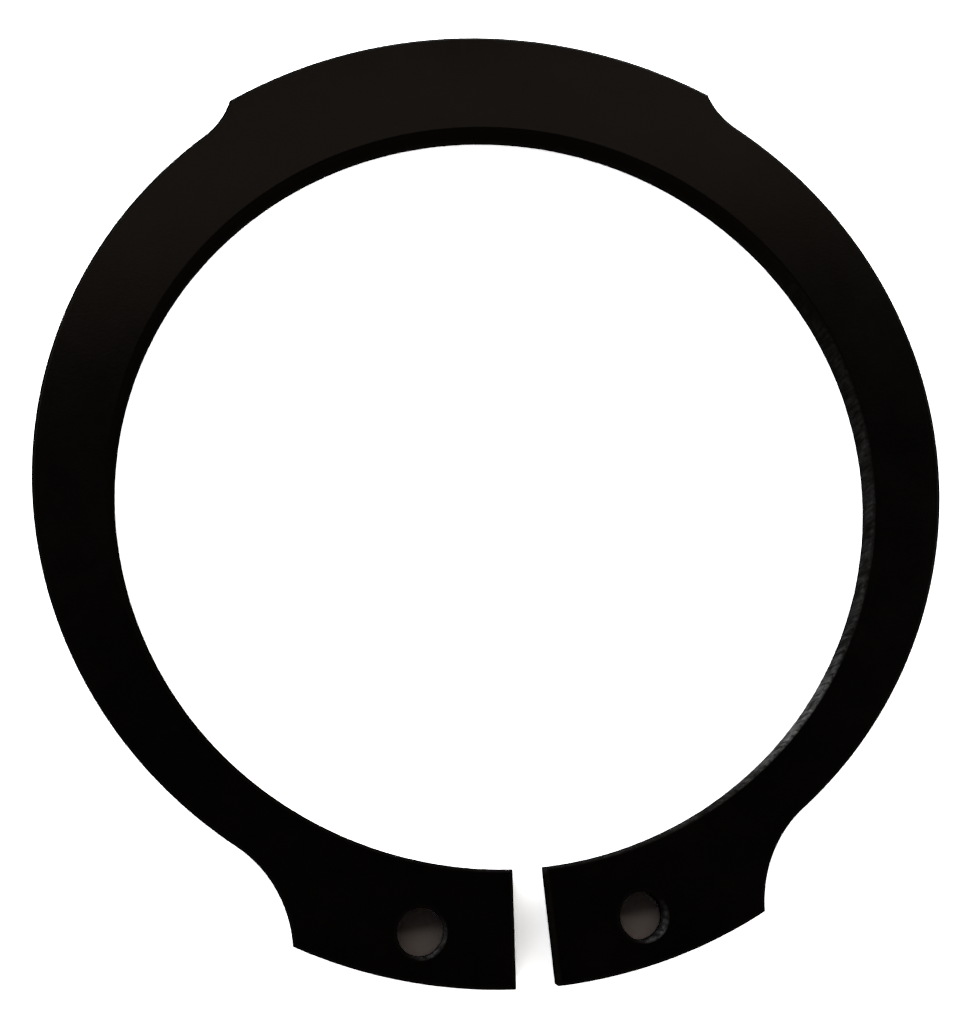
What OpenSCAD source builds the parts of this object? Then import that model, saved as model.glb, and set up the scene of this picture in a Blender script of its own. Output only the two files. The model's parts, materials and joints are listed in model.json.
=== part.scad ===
// External retaining ring for a grooved shaft, lying flat.
// The bore's centre is at the origin, the underside is at z = 0 and the gap points to -Y.
// The upper edge is rolled over where the punch entered, and the lower edge is lightly broken.

/* [Ring] */
// Bore of the ring before it is fitted
bore_d = 45.8; // [40:0.1:60]
// Thickness of the steel strip
thickness = 2; // [1.2:0.05:3]
// Radial width of the band beside the lugs, where it is thinnest
band_thin = 3; // [2:0.05:4]
// Radial width that the band grows to under the crown
band_thick = 5.95; // [5:0.05:6.3]

/* [Crown] */
// Radial width of the raised crown opposite the gap
crown_h = 6.75; // [6.65:0.05:8]
// Angle that the crown covers
crown_span = 63; // [30:1:100]
// Radius of the hollow that steps down from the crown to the band
crown_hollow_r = 5; // [3:0.1:8]

/* [Lugs] */
// Radial width of the two lugs
lug_h = 6.4; // [5.5:0.05:8]
// Angle from the middle of the gap to the tip of a lug
lug_span = 26.8; // [22:0.1:32]
// Radius of the hollow flank between a lug and the band
lug_hollow_r = 7.2; // [5:0.1:12]
// Angle between the two edges of the gap
gap_angle = 4.6; // [3:0.1:8]

/* [Plier holes] */
// Diameter of a plier hole
hole_d = 2.6; // [2:0.05:3]
// Distance from the bore's edge to the centre of a plier hole
hole_inset = 3.75; // [3:0.05:4]
// Angle from the middle of the gap to a plier hole
hole_angle = 13.5; // [11:0.1:16]

/* [Edges] */
// Radius of the rolled upper edge
roll_r = 0.25; // [0.05:0.01:0.4]
// Size of the bevel on the lower edge
bevel = 0.08; // [0.02:0.01:0.2]

/* [Hidden] */
$fn = 180;
// Depth by which a hollow starts inside the band, so that the two meet cleanly
bite = 0.02;
// Room that a cut leaves past the steel on every side
past = 1;
// Flats that draw the roll along a straight edge
roll_flats = 4;

bore_r = bore_d / 2;
band_r = bore_r + (band_thin + band_thick) / 2;
band_shift = (band_thick - band_thin) / 2;
outer_r = bore_r + max(crown_h, lug_h);
hole_circle_r = bore_r + hole_inset;
// The roll reaches the top face at a slight angle, as a sheared edge does.
roll_depth = 0.95 * roll_r;
// A cut along one edge of the gap stays just short of the gap's middle.
gap_cut_w = 0.9 * bore_r * sin(gap_angle / 2);

// Point at a radius, and at an angle from the Y axis
function around(r, angle) = [r * sin(angle), r * cos(angle)];

// Angle of the circle that hollows a pad's side: it passes through the pad's tip and meets the band.
// The angle and the tip are taken from the band's centre.
function hollow_turn(tip, r) =
    let (d = norm(tip), reach = band_r + r - bite)
    atan2(tip[0], tip[1]) + acos((d * d + reach * reach - r * r) / (2 * d * reach));

// Half section of a disc of steel, with its edges rolled above and bevelled below
module disc_section(r)
{
    difference()
    {
        polygon([[0, 0], [r - bevel, 0], [r, bevel], [r, thickness], [0, thickness]]);
        translate([r - roll_r, thickness - roll_depth])
            difference()
            {
                square(roll_r + past);
                circle(roll_r);
            }
    }
}

// Half section of what a punch takes out, which leaves the same edges on the steel round it
module punch_section(r)
{
    difference()
    {
        polygon([
            [0, -past], [r + bevel, -past], [r + bevel, 0], [r, bevel],
            [r, thickness - roll_depth], [r + roll_r, thickness - roll_depth],
            [r + roll_r, thickness + past], [0, thickness + past]
        ]);
        translate([r + roll_r, thickness - roll_depth])
            circle(roll_r);
    }
}

// The same as a straight cut, where the roll is drawn as flats
module slot_section(w)
{
    turn = asin(roll_depth / roll_r);
    roll_centre = [w + roll_r, thickness - roll_depth];
    roll = [
        for (i = [0 : roll_flats])
            roll_centre + roll_r * [-cos(i * turn / roll_flats), sin(i * turn / roll_flats)]
    ];
    polygon(concat(
        [[0, -past], [w + bevel, -past], [w + bevel, 0], [w, bevel]],
        roll,
        [roll[roll_flats] + past * [1, cos(turn)], [0, thickness + 2 * past]]
    ));
}

module disc(r)
{
    rotate_extrude()
        disc_section(r);
}

module punch(r)
{
    rotate_extrude()
        punch_section(r);
}

// A wedge that opens along Y, from its point to well outside the ring
module wedge(half_angle)
{
    translate([0, 0, -past])
        linear_extrude(thickness + 2 * past)
            polygon([[0, 0], around(2 * outer_r, half_angle), around(2 * outer_r, -half_angle)]);
}

// A raised pad across the Y axis with a hollow at each side, and its shift is that of the band's centre
module pad(h, half_angle, hollow_r, shift)
{
    tip = around(bore_r + h, half_angle) - [0, shift];
    turn = hollow_turn(tip, hollow_r);
    hollow = around(band_r + hollow_r - bite, turn) + [0, shift];
    difference()
    {
        intersection()
        {
            disc(bore_r + h);
            translate([0, shift, 0])
                wedge(turn);
        }
        for (side = [-1, 1])
            translate([side * hollow[0], hollow[1], 0])
                punch(hollow_r);
    }
}

// The gap across the Y axis: one straight cut along each edge, and a wedge for what is left between them
module gap()
{
    for (side = [0, 1])
        mirror([side, 0, 0])
            rotate([0, 0, -gap_angle / 2])
                translate([-gap_cut_w, outer_r + past, 0])
                    rotate([90, 0, 0])
                        linear_extrude(outer_r - bore_r + 2 * past)
                            slot_section(gap_cut_w);
    wedge(gap_angle / 3);
}

module plier_holes()
{
    for (side = [-1, 1])
        translate(around(hole_circle_r, side * hole_angle))
            punch(hole_d / 2);
}

module retaining_ring()
{
    color([0.09, 0.085, 0.08])
        difference()
        {
            union()
            {
                translate([0, band_shift, 0])
                    disc(band_r);
                pad(crown_h, crown_span / 2, crown_hollow_r, band_shift);
                rotate([0, 0, 180])
                    pad(lug_h, lug_span, lug_hollow_r, -band_shift);
            }
            punch(bore_r);
            rotate([0, 0, 180])
            {
                gap();
                plier_holes();
            }
        }
}

retaining_ring();
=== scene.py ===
import json
import math

import bpy
from mathutils import Euler, Matrix, Vector


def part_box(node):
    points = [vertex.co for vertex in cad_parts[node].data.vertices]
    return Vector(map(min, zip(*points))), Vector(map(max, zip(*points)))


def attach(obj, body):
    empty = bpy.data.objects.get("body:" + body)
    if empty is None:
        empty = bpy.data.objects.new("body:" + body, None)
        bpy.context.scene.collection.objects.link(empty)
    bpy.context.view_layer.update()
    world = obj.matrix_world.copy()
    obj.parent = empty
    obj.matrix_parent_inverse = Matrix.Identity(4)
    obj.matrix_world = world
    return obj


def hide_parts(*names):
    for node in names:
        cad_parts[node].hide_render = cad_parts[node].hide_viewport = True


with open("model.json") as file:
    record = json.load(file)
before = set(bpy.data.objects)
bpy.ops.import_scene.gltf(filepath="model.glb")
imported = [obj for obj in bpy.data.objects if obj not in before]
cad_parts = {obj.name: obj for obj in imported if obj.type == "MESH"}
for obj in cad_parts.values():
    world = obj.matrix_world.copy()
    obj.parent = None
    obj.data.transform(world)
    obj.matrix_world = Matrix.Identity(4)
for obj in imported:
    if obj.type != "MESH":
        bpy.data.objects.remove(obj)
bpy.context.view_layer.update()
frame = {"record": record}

# Retaining ring: one piece of spring steel, punched from a strip, hardened, blacked in a phosphate bath and
# oiled. Its band grows from the two lugs, with their plier holes, towards the raised crown. The punch rolls
# the upper edge over, leaves a smooth wall under it and tears the wall's lower part.

MM = 0.001
mounts = {mount["name"]: mount for mount in frame["record"]["mounts"]}
plier_hole = mounts["plier_hole_right"]
low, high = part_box("retaining_ring")
bore_radius = mounts["seat"]["dims"]["r_mm"]
# Sizes in millimetres and angles from the Y axis: the named inputs of the ring's node tree
RING_SIZES = {
    "Bore Radius": bore_radius,
    "Thickness": (high[2] - low[2]) / MM,
    "Band Thin": 3.0,
    "Band Thick": 5.95,
    "Crown Width": high[1] / MM - bore_radius,
    "Crown Half Angle": math.radians(31.5),
    "Crown Hollow": 5.0,
    "Lug Width": 6.4,
    "Lug Angle": math.radians(26.8),
    "Lug Hollow": 7.2,
    "Half Gap": math.radians(2.3),
    "Hole Radius": plier_hole["dims"]["r_mm"],
    "Hole X": plier_hole["pos_m"][0] / MM,
    "Hole Y": plier_hole["pos_m"][1] / MM,
    "Roll": 0.25,
    "Bevel": 0.08,
    # How deep the tearing is, and how far up the wall it goes where it is least and most
    "Tear Depth": 0.035,
    "Tear Least": 0.05,
    "Tear Most": 0.45,
    # The side whose walls face the key light, where a highlight is painted on them as bare grey steel; how
    # bare the steel is elsewhere; and how strong the painted highlight is on that side of the bore, at that
    # side's middle, and on that side of the holes, where it also stands for the pliers' rubbing
    "Wear And Painted Highlight Side": math.radians(134),
    "Worn Least": 0.015,
    "Painted Highlight Wide": 0.19,
    "Painted Highlight Spot": 0.65,
    "Hole Wear And Painted Highlight": 0.4,
    "Seed": 4.0,
}
# Steps of half the outline, which runs from the crown's middle down to the gap and back up along the bore
OUTLINE_STEPS = {
    "crown": 110,
    "crown hollow": 28,
    "band": 380,
    "lug hollow": 40,
    "lug": 84,
    "gap edge": 44,
    "bore": 470,
}
HOLE_STEPS = 96
# Rows of a wall from below: the lower face's rim, the bevel, the wall, the roll and the upper face's rim
WALL_STEPS = 9
ROLL_STEPS = 6
BEVEL_ROW = 1
WALL_ROW = BEVEL_ROW + 1
ROLL_ROW = WALL_ROW + WALL_STEPS
RIM_ROW = ROLL_ROW + ROLL_STEPS
ALL_ROWS = RIM_ROW + 2
# The roll meets the top face at a slight angle: its depth is this share of its radius.
ROLL_DEPTH = 0.95
ROLL_TURN = math.asin(ROLL_DEPTH)


def fill(tree, socket, value):
    """Sets an input to a value, or links a number or a socket to it."""
    if isinstance(value, Number):
        value = value.socket
    if isinstance(value, bpy.types.NodeSocket):
        tree.links.new(value, socket)
    else:
        socket.default_value = value


def put(tree, kind, inputs=None, **settings):
    """A new node with its settings, and its inputs filled by their name or place."""
    node = tree.nodes.new(kind)
    for name, value in settings.items():
        setattr(node, name, value)
    for name, value in (inputs or {}).items():
        fill(tree, node.inputs[name], value)
    return node


def result(tree, kind, inputs=None, **settings):
    """What a new node puts out first."""
    return put(tree, kind, inputs, **settings).outputs[0]


def worked_out(tree, operation, *values):
    """The number that an operation makes of other numbers."""
    return Number(tree, result(tree, "ShaderNodeMath", dict(enumerate(values)), operation=operation))


class Number:
    """A number in a node tree, so that formulas can be written as formulas."""

    def __init__(self, tree, socket):
        self.tree = tree
        self.socket = socket

    def do(self, operation, *others):
        return worked_out(self.tree, operation, self, *others)

    def __add__(self, other):
        return self.do("ADD", other)

    __radd__ = __add__

    def __mul__(self, other):
        return self.do("MULTIPLY", other)

    __rmul__ = __mul__

    def __sub__(self, other):
        return self.do("SUBTRACT", other)

    def __rsub__(self, other):
        return worked_out(self.tree, "SUBTRACT", other, self)

    def __truediv__(self, other):
        return self.do("DIVIDE", other)

    def __rtruediv__(self, other):
        return worked_out(self.tree, "DIVIDE", other, self)

    def sin(self):
        return self.do("SINE")

    def cos(self):
        return self.do("COSINE")

    def root(self):
        return self.do("SQRT")

    def clamped(self):
        return self.do("MAXIMUM", 0.0).do("MINIMUM", 1.0)

    def passed(self, start, steps):
        """How much of a stretch of steps is passed, from 0 before it to 1 after it."""
        return ((self - float(start)) / float(steps)).clamped()

    def stretched(self, low, high):
        """The range from low to high as 0 to 1, with what lies past its ends cut off."""
        span = {"Value": self, "From Min": low, "From Max": high}
        return Number(self.tree, result(self.tree, "ShaderNodeMapRange", span))


def between(first, last, share):
    return first + (last - first) * share


def vector(tree, x, y, z=0.0):
    return result(tree, "ShaderNodeCombineXYZ", {"X": x, "Y": y, "Z": z})


def new_group(kind, name, inputs, outputs):
    """A node group with named sockets, as (tree, its inputs as numbers, its output node)."""
    tree = bpy.data.node_groups.new(name, kind)
    for label in inputs:
        tree.interface.new_socket(name=label, in_out="INPUT", socket_type="NodeSocketFloat")
    for label, socket_type in outputs.items():
        tree.interface.new_socket(name=label, in_out="OUTPUT", socket_type=socket_type)
    start = tree.nodes.new("NodeGroupInput")
    numbers = {label: Number(tree, start.outputs[label]) for label in inputs}
    return tree, numbers, tree.nodes.new("NodeGroupOutput")


# The hollow beside a raised pad is an arc that touches the band and ends at the pad's tip. Angles are from
# the Y axis, and the offset draws the outline in, with its corners, as a rolled or bevelled edge does.
HOLLOW_INPUTS = [
    "Offset", "Along", "Bore Radius", "Band Radius", "Shift", "Width", "Half Angle", "Hollow",
]
HOLLOW_RESULTS = ["Point X", "Point Y", "Tip Angle", "Turn"]


def hollow_group():
    tree, n, end = new_group("GeometryNodeTree", "Hollow Beside A Pad", HOLLOW_INPUTS,
                             dict.fromkeys(HOLLOW_RESULTS, "NodeSocketFloat"))
    pad_r = n["Bore Radius"] + n["Width"]
    tip_x = pad_r * n["Half Angle"].sin()
    tip_y = pad_r * n["Half Angle"].cos() - n["Shift"]
    far = (tip_x * tip_x + tip_y * tip_y).root()
    reach = n["Band Radius"] + n["Hollow"]
    bend = (far * far + reach * reach - n["Hollow"] * n["Hollow"]) / (far * reach * 2.0)
    turn = tip_x.do("ARCTAN2", tip_y) + bend.do("ARCCOSINE")
    centre_x = reach * turn.sin()
    centre_y = reach * turn.cos() + n["Shift"]

    pad_in = pad_r - n["Offset"]
    hollow_in = n["Hollow"] + n["Offset"]
    centre_far = (centre_x * centre_x + centre_y * centre_y).root()
    opening = (pad_in * pad_in + centre_far * centre_far - hollow_in * hollow_in) / (
        pad_in * centre_far * 2.0)
    tip_angle = centre_x.do("ARCTAN2", centre_y) - opening.do("ARCCOSINE")
    to_tip_x = pad_in * tip_angle.sin() - centre_x
    to_tip_y = pad_in * tip_angle.cos() - centre_y
    angle = between(to_tip_x.do("ARCTAN2", to_tip_y), turn - math.pi, n["Along"])
    point_x = centre_x + hollow_in * angle.sin()
    point_y = centre_y + hollow_in * angle.cos()
    for label, value in zip(HOLLOW_RESULTS, (point_x, point_y, tip_angle, turn)):
        fill(tree, end.inputs[label], value)
    return tree


OUTLINE_SIZES = [
    "Bore Radius", "Band Thin", "Band Thick", "Crown Width", "Crown Half Angle", "Crown Hollow",
    "Lug Width", "Lug Angle", "Lug Hollow", "Half Gap",
]


def outline_group(hollow):
    """The point of the right half outline at a step, with the outline drawn in by an offset."""
    tree, n, end = new_group("GeometryNodeTree", "Half Outline", ["Step", "Offset", *OUTLINE_SIZES],
                             {"Point": "NodeSocketVector"})
    bore_r, offset, half_gap = n["Bore Radius"], n["Offset"], n["Half Gap"]
    band_r = bore_r + (n["Band Thin"] + n["Band Thick"]) * 0.5
    shift = (n["Band Thick"] - n["Band Thin"]) * 0.5
    along = {}
    starts = []
    done = 0
    for part, steps in OUTLINE_STEPS.items():
        along[part] = n["Step"].passed(done, steps)
        starts.append(done)
        done += steps

    def pad(side, width, half_angle, size, share):
        """The pad's hollow at the crown, side 1, or mirrored at the lugs, side -1."""
        node = put(tree, "GeometryNodeGroup", {
            "Offset": offset, "Along": share, "Bore Radius": bore_r, "Band Radius": band_r,
            "Shift": shift * side, "Width": width, "Half Angle": half_angle, "Hollow": size,
        }, node_tree=hollow)
        x, y, tip, turn = (Number(tree, node.outputs[label]) for label in HOLLOW_RESULTS)
        return vector(tree, x, y * side), tip, turn

    def arc(radius, angle, centre_y=0.0):
        return vector(tree, radius * angle.sin(), radius * angle.cos() + centre_y)

    crown_hollow, crown_tip, crown_turn = pad(
        1.0, n["Crown Width"], n["Crown Half Angle"], n["Crown Hollow"], along["crown hollow"])
    # The lug's hollow is passed the other way, from the band to the tip.
    lug_hollow, lug_tip, lug_turn = pad(
        -1.0, n["Lug Width"], n["Lug Angle"], n["Lug Hollow"], 1.0 - along["lug hollow"])
    crown_r = bore_r + n["Crown Width"] - offset
    lug_r = bore_r + n["Lug Width"] - offset
    bore_in = bore_r + offset
    outer_corner = half_gap + (offset / lug_r).do("ARCSINE")
    inner_corner = half_gap + (offset / bore_in).do("ARCSINE")
    edge_far = between(lug_r * (outer_corner - half_gap).cos(),
                       bore_in * (inner_corner - half_gap).cos(), along["gap edge"])
    edge_x = edge_far * half_gap.sin() + offset * half_gap.cos()
    edge_y = edge_far * half_gap.cos() - offset * half_gap.sin()
    points = [
        arc(crown_r, crown_tip * along["crown"]),
        crown_hollow,
        arc(band_r - offset, between(crown_turn, math.pi - lug_turn, along["band"]), shift),
        lug_hollow,
        arc(lug_r, math.pi - between(lug_tip, outer_corner, along["lug"])),
        vector(tree, edge_x, edge_y * -1.0),
        arc(bore_in, (math.pi - inner_corner) * (1.0 - along["bore"])),
    ]
    which = sum(n["Step"].do("GREATER_THAN", float(start)) for start in starts[1:])
    choice = put(tree, "GeometryNodeIndexSwitch", data_type="VECTOR")
    while len(choice.index_switch_items) < len(points):
        choice.index_switch_items.new()
    for place, value in enumerate((which, *points)):
        fill(tree, choice.inputs[place], value)
    fill(tree, end.inputs["Point"], choice.outputs[0])
    return tree


def wall_section(n, row):
    """The wall's section at a row: how far it is drawn in, its height, and the marks for its finish."""
    lower_rim = 1.0 - row.passed(0, 1)
    bevelled = row.passed(BEVEL_ROW, 1)
    up_wall = row.passed(WALL_ROW, WALL_STEPS)
    rolled = row.passed(ROLL_ROW, ROLL_STEPS)
    upper_rim = row.passed(RIM_ROW, 1)
    roll_in = n["Roll"] * (1.0 - (rolled * ROLL_TURN).cos())
    # A face's rim is as wide as the bevel.
    drawn_in = n["Bevel"] * (1.0 - bevelled) + n["Bevel"] * (lower_rim + upper_rim) + roll_in
    wall_top = n["Thickness"] - n["Roll"] * ROLL_DEPTH
    roll_up = n["Roll"] * (rolled * ROLL_TURN).sin()
    height = n["Bevel"] * bevelled + (wall_top - n["Bevel"]) * up_wall + roll_up
    marks = {
        "wall": bevelled * (1.0 - rolled),
        "up_wall": up_wall,
        "lower_corner": (1.0 - lower_rim) * (1.0 - row.passed(WALL_ROW, 1)),
    }
    return drawn_in, height, marks


def stored(tree, geometry, name, value):
    return result(tree, "GeometryNodeStoreNamedAttribute", {
        "Geometry": geometry, "Name": name, "Value": value,
    }, data_type="FLOAT", domain="POINT")


def kept_as(tree, name):
    """The number that was stored on the mesh under a name."""
    return Number(tree, result(tree, "GeometryNodeInputNamedAttribute", {"Name": name}, data_type="FLOAT"))


def joined(tree, *parts):
    node = tree.nodes.new("GeometryNodeJoinGeometry")
    for part in parts:
        tree.links.new(part, node.inputs[0])
    return node.outputs[0]


def turned_over(tree, mesh):
    return result(tree, "GeometryNodeFlipFaces", {0: mesh})


def half_ring(tree, n):
    """The right half: its walls are swept round the outline and the hole, and its two faces are filled."""
    outline = outline_group(hollow_group())
    outline_sizes = {label: n[label] for label in OUTLINE_SIZES}
    outline_count = sum(OUTLINE_STEPS.values()) + 1
    index = Number(tree, result(tree, "GeometryNodeInputIndex"))
    row = index.do("FLOORED_MODULO", float(ALL_ROWS))
    column = (index / float(ALL_ROWS)).do("FLOOR")
    drawn_in, height, marks = wall_section(n, row)

    def outline_point(step, offset):
        inputs = {"Step": step, "Offset": offset, **outline_sizes}
        return result(tree, "GeometryNodeGroup", inputs, node_tree=outline)

    def hole_point(step, offset):
        angle = step * (2 * math.pi / HOLE_STEPS)
        radius = n["Hole Radius"] + offset
        return vector(tree, n["Hole X"] + radius * angle.cos(), n["Hole Y"] + radius * angle.sin())

    def moved(mesh, place):
        return result(tree, "GeometryNodeSetPosition", {"Geometry": mesh, "Position": place})

    def walls(count, point_at):
        grid = result(tree, "GeometryNodeMeshGrid", {"Vertices X": count, "Vertices Y": ALL_ROWS})
        point = point_at(column, drawn_in)
        up = vector(tree, 0.0, 0.0, height)
        return moved(grid, result(tree, "ShaderNodeVectorMath", {0: point, 1: up}, operation="ADD"))

    def loop(count, point_at, offset):
        line = result(tree, "GeometryNodeMeshLine", {"Count": count})
        curve = result(tree, "GeometryNodeMeshToCurve", {0: moved(line, point_at(index, offset))})
        return result(tree, "GeometryNodeSetSplineCyclic", {"Geometry": curve, "Cyclic": True})

    def flat(offset, z):
        outer = loop(outline_count, outline_point, offset)
        edges = joined(tree, outer, loop(HOLE_STEPS, hole_point, offset))
        filled = result(tree, "GeometryNodeFillCurve", {0: edges}, mode="TRIANGLES")
        up = vector(tree, 0.0, 0.0, z)
        return result(tree, "GeometryNodeTransform", {"Geometry": filled, "Translation": up})

    hole_wall = stored(tree, walls(HOLE_STEPS + 1, hole_point), "hole", 1.0)
    side = joined(tree, walls(outline_count, outline_point), hole_wall)
    for name, value in marks.items():
        side = stored(tree, side, name, value)
    # Each face is filled from where the wall's rim on it ends.
    lower_face = flat(n["Bevel"] * 2.0, 0.0)
    upper_face = flat(n["Roll"] * (1.0 - math.cos(ROLL_TURN)) + n["Bevel"], n["Thickness"])
    return joined(tree, turned_over(tree, joined(tree, side, lower_face)), upper_face)


# The torn part of a wall ends along a ragged line, which wanders within half the wall's height, and fades
# out over a fifth of that height. Its surface is rough. Both noises are scaled in waves per millimetre.
RAGGED_LINE = {"Scale": 0.9, "Detail": 3.0}
RAGGED_REACH = 0.5
TEAR_SHARPNESS = 5.0
TORN_ROUGH = {"Scale": 1.6, "Detail": 4.0, "Roughness": 0.7}
# A point this close to the bore's radius, in millimetres, is on the bore's wall.
NEAR_BORE = 0.3
# How closely the brightest spot of the painted highlight keeps to the middle of the side that faces the key
# light
PAINTED_HIGHLIGHT_FOCUS = 70.0
# How bare the lower corner of the walls is, all the way round
CORNER_WORN = 0.05


def seeded_noise(tree, n, settings):
    inputs = {"W": n["Seed"], **settings}
    return Number(tree, result(tree, "ShaderNodeTexNoise", inputs, noise_dimensions="4D"))


def torn_wear_and_painted_highlight(tree, n, ring):
    """Marks where the walls are torn, where their steel is worn bare, and where a highlight is painted on
    them as bare grey steel. The punches sat a little off the die's middle, so on one side the walls of the
    bore and the holes tore less.
    On that side the walls face the key light, and the painted highlight lies there; on the holes' walls it
    also stands for the pliers' rubbing."""
    place = put(tree, "ShaderNodeSeparateXYZ", {0: result(tree, "GeometryNodeInputPosition")}).outputs
    x = Number(tree, place["X"])
    y = Number(tree, place["Y"])
    wall = kept_as(tree, "wall")
    in_hole = kept_as(tree, "hole")
    # The side that faces the key light is judged from the bore's middle, and on a hole's wall from that
    # hole's own middle.
    from_middle_x = x - x.do("SIGN") * n["Hole X"] * in_hole
    from_middle_y = y - n["Hole Y"] * in_hole
    share = (from_middle_x.do("ARCTAN2", from_middle_y) - n["Wear And Painted Highlight Side"]).cos().do("MAXIMUM", 0.0)

    ragged = seeded_noise(tree, n, RAGGED_LINE) - 0.5
    tear_top = between(n["Tear Most"], n["Tear Least"], share) + ragged * RAGGED_REACH
    torn = wall * ((tear_top - kept_as(tree, "up_wall")) * TEAR_SHARPNESS).clamped()
    ring = stored(tree, ring, "torn", torn)

    in_bore = ((x * x + y * y).root() - n["Bore Radius"]).do("LESS_THAN", NEAR_BORE)
    # On the bore's wall a highlight is painted as bare grey steel where the key light catches it: a wide
    # band over that side and a narrow spot at its middle
    painted_bore_highlight = share * share * n["Painted Highlight Wide"] + share.do("POWER", PAINTED_HIGHLIGHT_FOCUS) * n["Painted Highlight Spot"]
    wear_and_painted_highlight = between(n["Worn Least"], painted_bore_highlight, in_bore) + kept_as(tree, "lower_corner") * CORNER_WORN
    # On the holes' walls bare grey is painted on the side that faces the key light, partly as the pliers'
    # rubbing and partly as a painted highlight
    wear_and_painted_highlight = between(wear_and_painted_highlight, share * share * n["Hole Wear And Painted Highlight"], in_hole)
    return stored(tree, ring, "wear_and_painted_highlight", wear_and_painted_highlight * wall.root())


# Points of the two halves that are this close, in millimetres, are welded into one.
WELD = 0.0005
# Faces that meet at more than this angle keep a sharp edge between them.
SHARP = math.radians(38)
# A face has the wall's finish where the mark of the wall is past this share.
WALL_FROM = 0.05


def ring_group(face, edge):
    """The whole ring: two mirrored halves, welded, with the torn part of the walls drawn in unevenly."""
    outputs = {"Geometry": "NodeSocketGeometry"}
    tree, n, end = new_group("GeometryNodeTree", "Punched Ring", RING_SIZES, outputs)
    half = half_ring(tree, n)
    mirrored = result(tree, "GeometryNodeTransform", {"Geometry": half, "Scale": (-1, 1, 1)})
    both = joined(tree, half, turned_over(tree, mirrored))
    whole = result(tree, "GeometryNodeMergeByDistance", {"Geometry": both, "Distance": WELD})
    whole = torn_wear_and_painted_highlight(tree, n, whole)

    depth = kept_as(tree, "torn") * seeded_noise(tree, n, TORN_ROUGH) * n["Tear Depth"] * -1.0
    normal = result(tree, "GeometryNodeInputNormal")
    push = result(tree, "ShaderNodeVectorMath", {0: normal, "Scale": depth}, operation="SCALE")
    uneven = result(tree, "GeometryNodeSetPosition", {"Geometry": whole, "Offset": push})

    smooth = result(tree, "GeometryNodeSetShadeSmooth", {
        "Geometry": uneven, "Shade Smooth": True,
    }, domain="FACE")
    bend = Number(tree, put(tree, "GeometryNodeInputMeshEdgeAngle").outputs["Unsigned Angle"])
    creased = result(tree, "GeometryNodeSetShadeSmooth", {
        "Geometry": smooth, "Selection": bend.do("GREATER_THAN", SHARP), "Shade Smooth": False,
    }, domain="EDGE")
    in_metres = result(tree, "GeometryNodeTransform", {"Geometry": creased, "Scale": (MM, MM, MM)})
    real = result(tree, "GeometryNodeRealizeInstances", {0: in_metres})
    faced = result(tree, "GeometryNodeSetMaterial", {"Geometry": real, "Material": face})
    on_wall = kept_as(tree, "wall").do("GREATER_THAN", WALL_FROM)
    edged = result(tree, "GeometryNodeSetMaterial", {
        "Geometry": faced, "Material": edge, "Selection": on_wall,
    })
    fill(tree, end.inputs["Geometry"], edged)
    return tree


# The phosphate coat is black crystals, in light and dark patches and with a fine grain. On the faces oil
# fills them, which leaves a thin sheen. On the punched edges they stay dull, with streaks along the punch's
# stroke. Colours are linear, and sizes are in metres.
COAT_LAYERS = {"Patches": ("Patch Size", 4.0), "Grain": ("Grain Size", 3.0)}
COAT_ROUGHNESS = 0.6
COAT_SPAN = (0.32, 0.68)

# The faces: the coat's two blacks and its sizes, how dull the patches are and what the grain adds, and the
# sheen of the oil
FACE_DARK = (0.0004, 0.0002, 0.0002, 1)
FACE_LIGHT = (0.0008, 0.0005, 0.0004, 1)
FACE_COAT = {"Patch Size": 0.004, "Grain Size": 0.00014}
FACE_DULL = (0.18, 0.21)
FACE_GRAIN_DULL = 0.03
FACE_BUMP = {"Strength": 0.15, "Distance": 0.00001}
FACE_SHEEN = {"Specular IOR Level": 0.5, "Specular Tint": (1.0, 0.98, 0.88, 1)}

# The punched edges: black where smooth and where torn, grey steel where worn and where a highlight is
# painted on them, and their coat
EDGE_SMOOTH = (0.0022, 0.0018, 0.0014, 1)
EDGE_TORN = (0.0055, 0.0050, 0.0046, 1)
EDGE_BARE_AND_PAINTED_HIGHLIGHT = (0.300, 0.296, 0.292, 1)
EDGE_COAT = {"Patch Size": 0.0012, "Grain Size": 0.0002}
EDGE_DULL = {"Roughness": 0.8, "Specular IOR Level": 0.0}
EDGE_BUMP = {"Strength": 0.6, "Distance": 0.00003}
# The streaks' width, how much they are drawn out along Z, and their share of the bump's height
STREAK_WIDTH = 0.00022
STREAK_DETAIL = 3.0
STREAK_SCALE = (1, 1, 0.12)
STREAK_SPAN = (0.35, 0.65)
STREAK_HEIGHT = 0.3
# What a light colour keeps of its strength in dark patches, in dark grain, between streaks and where torn
DARK_PATCH = 0.25
DARK_GRAIN = 0.4
DARK_STREAK = 0.15
TORN_SHARE = 0.3
# Places of the share, the two colours and the result on a mix node that blends colours
MIX_SHARE = 0
MIX_FIRST = 6
MIX_LAST = 7
MIX_RESULT = 2


def blend(tree, first, last, share):
    """The colour between two colours."""
    inputs = {MIX_SHARE: share, MIX_FIRST: first, MIX_LAST: last}
    return put(tree, "ShaderNodeMix", inputs, data_type="RGBA").outputs[MIX_RESULT]


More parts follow.
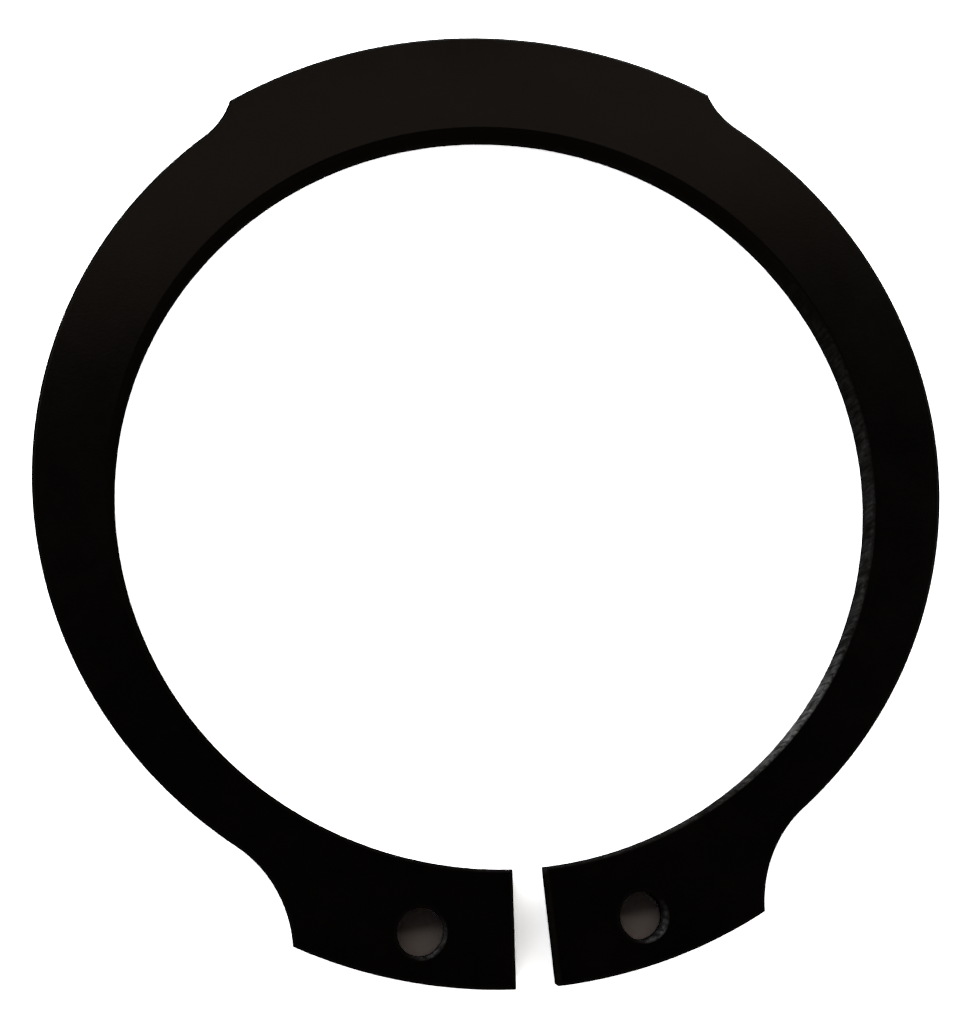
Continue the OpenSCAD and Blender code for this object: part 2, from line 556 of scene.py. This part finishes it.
def phosphate_coat():
    """The crystals of the coat: cloudy patches, and a grain so fine that it only dulls the steel."""
    tree, n, end = new_group("ShaderNodeTree", "Phosphate Coat", [size for size, _ in COAT_LAYERS.values()],
                             dict.fromkeys(COAT_LAYERS, "NodeSocketFloat"))
    place = put(tree, "ShaderNodeTexCoord").outputs["Object"]
    for label, (size, detail) in COAT_LAYERS.items():
        noise = result(tree, "ShaderNodeTexNoise", {
            "Vector": place, "Scale": 1.0 / n[size], "Detail": detail, "Roughness": COAT_ROUGHNESS,
        })
        fill(tree, end.inputs[label], Number(tree, noise).stretched(*COAT_SPAN))
    return tree


def new_material(name):
    material = bpy.data.materials.new(name)
    material.use_nodes = True
    material.node_tree.nodes.clear()
    return material, material.node_tree


def coated(tree, coat, sizes):
    """The coat's patches and its grain, at the sizes of one surface."""
    node = put(tree, "ShaderNodeGroup", sizes, node_tree=coat)
    return [Number(tree, node.outputs[label]) for label in COAT_LAYERS]


def oiled_face(coat):
    material, tree = new_material("oiled black face")
    patches, grain = coated(tree, coat, FACE_COAT)
    steel = result(tree, "ShaderNodeBsdfPrincipled", {
        "Base Color": blend(tree, FACE_DARK, FACE_LIGHT, patches),
        "Roughness": between(*FACE_DULL, patches) + grain * FACE_GRAIN_DULL,
        "Normal": result(tree, "ShaderNodeBump", {**FACE_BUMP, "Height": grain}),
        **FACE_SHEEN,
    })
    put(tree, "ShaderNodeOutputMaterial", {"Surface": steel})
    return material


def punched_edge(coat):
    material, tree = new_material("dull black punched edge")
    patches, grain = coated(tree, coat, EDGE_COAT)
    torn, wear_and_painted_highlight = (Number(tree, put(tree, "ShaderNodeAttribute", attribute_name=name).outputs["Fac"])
                  for name in ("torn", "wear_and_painted_highlight"))
    place = put(tree, "ShaderNodeTexCoord").outputs["Object"]
    drawn_out = result(tree, "ShaderNodeMapping", {"Vector": place, "Scale": STREAK_SCALE})
    drag = result(tree, "ShaderNodeTexNoise", {
        "Vector": drawn_out, "Scale": 1 / STREAK_WIDTH, "Detail": STREAK_DETAIL,
    })
    streaks = Number(tree, drag).stretched(*STREAK_SPAN)
    cloudy = between(DARK_PATCH, 1.0, patches) * between(DARK_GRAIN, 1.0, grain)
    colour = blend(tree, EDGE_SMOOTH, EDGE_TORN, torn * cloudy)
    # Bare grey steel: real wear, and the highlight painted on the walls that face the key light
    bare_and_painted_highlight = wear_and_painted_highlight * cloudy * between(DARK_STREAK, 1.0, streaks) * between(1.0, TORN_SHARE, torn)
    height = torn * grain + streaks * STREAK_HEIGHT
    steel = result(tree, "ShaderNodeBsdfPrincipled", {
        "Base Color": blend(tree, colour, EDGE_BARE_AND_PAINTED_HIGHLIGHT, bare_and_painted_highlight),
        "Normal": result(tree, "ShaderNodeBump", {**EDGE_BUMP, "Height": height}),
        **EDGE_DULL,
    })
    put(tree, "ShaderNodeOutputMaterial", {"Surface": steel})
    return material


def punched_ring():
    coat = phosphate_coat()
    group = ring_group(oiled_face(coat), punched_edge(coat))
    ring = bpy.data.objects.new("punched_ring", bpy.data.meshes.new("punched_ring"))
    bpy.context.scene.collection.objects.link(ring)
    maker = ring.modifiers.new("punch", "NODES")
    maker.node_group = group
    for socket in group.interface.items_tree:
        if socket.in_out == "INPUT":
            maker[socket.identifier] = RING_SIZES[socket.name]
    state = bpy.context.evaluated_depsgraph_get()
    made = ring.evaluated_get(state)
    ring.data = bpy.data.meshes.new_from_object(made, preserve_all_data_layers=True, depsgraph=state)
    ring.modifiers.clear()
    return ring


ring = punched_ring()
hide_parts("retaining_ring")
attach(ring, "root")


# Studio: a plain white floor under low, soft light. A broad cool softbox stands at the upper left, smaller
# ones behind the crown, on the right and in front, and a white horizon lies behind them. A dim warm panel
# behind the crown gives it its sheen. Overhead it is dark, as under a hood, so that the steel stays black.

FLOOR_HALF = 1.5
# The floor lies this far under the ring's underside, in metres, so that the two aren't in one plane.
FLOOR_DROP = 0.00001
# The floor throws back a moderate light onto the ring, and looks pure white to the eye and in the steel.
FLOOR_LIT = (0.4, 0.4, 0.4, 1)
FLOOR_SEEN = (3.8, 3.8, 3.8, 1)
HORIZON = (1.0, 1.0, 1.0, 1)
HOOD = (0.0026, 0.0015, 0.0012, 1)
# Elevations, in degrees, where the horizon's white starts to fade and where the hood is fully dark
HOOD_EDGE = (24, 38)
# Each softbox faces the ring from this far, in metres. Azimuths are from the Y axis towards X, in degrees.
SOFTBOX_DISTANCE = 0.60
SOFTBOXES = {
    "key": {
        "azimuth": -55, "elevation": 25, "width": 1.00, "height": 0.26,
        "radiance": 3.4, "colour": (0.94, 0.97, 1.0)},
    "behind": {
        "azimuth": 15, "elevation": 22, "width": 0.50, "height": 0.24,
        "radiance": 3.4, "colour": (1.0, 0.98, 0.95)},
    "front": {
        "azimuth": -165, "elevation": 24, "width": 0.50, "height": 0.24,
        "radiance": 2.8, "colour": (1.0, 1.0, 1.0)},
    "right": {
        "azimuth": 85, "elevation": 24, "width": 0.50, "height": 0.24,
        "radiance": 3.4, "colour": (1.0, 1.0, 1.0)},
    "sheen_panel": {
        "azimuth": -5, "elevation": 59.5, "width": 0.76, "height": 0.11,
        "radiance": 0.215, "colour": (1.0, 0.80, 0.70)},
}


def floor():
    corners = [(x * FLOOR_HALF, y * FLOOR_HALF, 0) for x, y in ((-1, -1), (1, -1), (1, 1), (-1, 1))]
    mesh = bpy.data.meshes.new("floor")
    mesh.from_pydata(corners, [], [(0, 1, 2, 3)])
    material, tree = new_material("white floor")
    rays = put(tree, "ShaderNodeLightPath").outputs
    seen = Number(tree, rays["Is Camera Ray"])
    for ray in ("Is Glossy Ray", "Is Transmission Ray"):
        seen = seen.do("MAXIMUM", rays[ray])
    paper = result(tree, "ShaderNodeBsdfDiffuse", {"Color": blend(tree, FLOOR_LIT, FLOOR_SEEN, seen)})
    put(tree, "ShaderNodeOutputMaterial", {"Surface": paper})
    mesh.materials.append(material)
    ground = bpy.data.objects.new("floor", mesh)
    ground.location.z = -FLOOR_DROP
    bpy.context.scene.collection.objects.link(ground)


def hooded_sky():
    """The world: white at the horizon and dark overhead."""
    world = bpy.data.worlds.new("hooded sky")
    bpy.context.scene.world = world
    world.use_nodes = True
    tree = world.node_tree
    tree.nodes.clear()
    direction = put(tree, "ShaderNodeTexCoord").outputs["Generated"]
    ways = put(tree, "ShaderNodeSeparateXYZ", {0: direction}).outputs
    share = Number(tree, ways["Z"]).stretched(*(math.sin(math.radians(edge)) for edge in HOOD_EDGE))
    sky = result(tree, "ShaderNodeBackground", {"Color": blend(tree, HORIZON, HOOD, share)})
    put(tree, "ShaderNodeOutputWorld", {"Surface": sky})


def softbox(name, azimuth, elevation, width, height, radiance, colour):
    lamp = bpy.data.lights.new(name, "AREA")
    lamp.shape = "RECTANGLE"
    lamp.size = width
    lamp.size_y = height
    lamp.color = colour
    lamp.energy = radiance * math.pi * width * height
    box = bpy.data.objects.new(name, lamp)
    turn = math.radians(azimuth)
    rise = math.radians(elevation)
    way = Vector((math.sin(turn) * math.cos(rise), math.cos(turn) * math.cos(rise), math.sin(rise)))
    facing = way.to_track_quat("Z", "Y").to_matrix().to_4x4()
    box.matrix_world = Matrix.Translation(way * SOFTBOX_DISTANCE) @ facing
    bpy.context.scene.collection.objects.link(box)


floor()
hooded_sky()
for name, settings in SOFTBOXES.items():
    softbox(name, **settings)


# Camera: close above the ring, a little towards the lugs and to the left, and rolled slightly, as the ring
# was photographed. Its place is from the bore's centre at the underside. Place, lens and sensor are in
# millimetres, and the turn is in degrees about X, Y and Z, from looking straight down.

CAMERA_PLACE = (-9.52, -22.45, 81.58)
CAMERA_TURN = (14.5248, -5.2384, -3.9039)
LENS = 48.86
SENSOR = 36.0
# The nearest that is seen, in metres
NEAREST = 0.001


def camera():
    eye = bpy.data.cameras.new("camera")
    eye.sensor_fit = "VERTICAL"
    eye.sensor_height = SENSOR
    eye.lens = LENS
    eye.clip_start = NEAREST
    holder = bpy.data.objects.new("camera", eye)
    turn = Euler([math.radians(angle) for angle in CAMERA_TURN]).to_matrix().to_4x4()
    holder.matrix_world = Matrix.Translation(Vector(CAMERA_PLACE) * MM) @ turn
    bpy.context.scene.collection.objects.link(holder)
    bpy.context.scene.camera = holder


camera()
bpy.context.scene.view_settings.view_transform = "Standard"
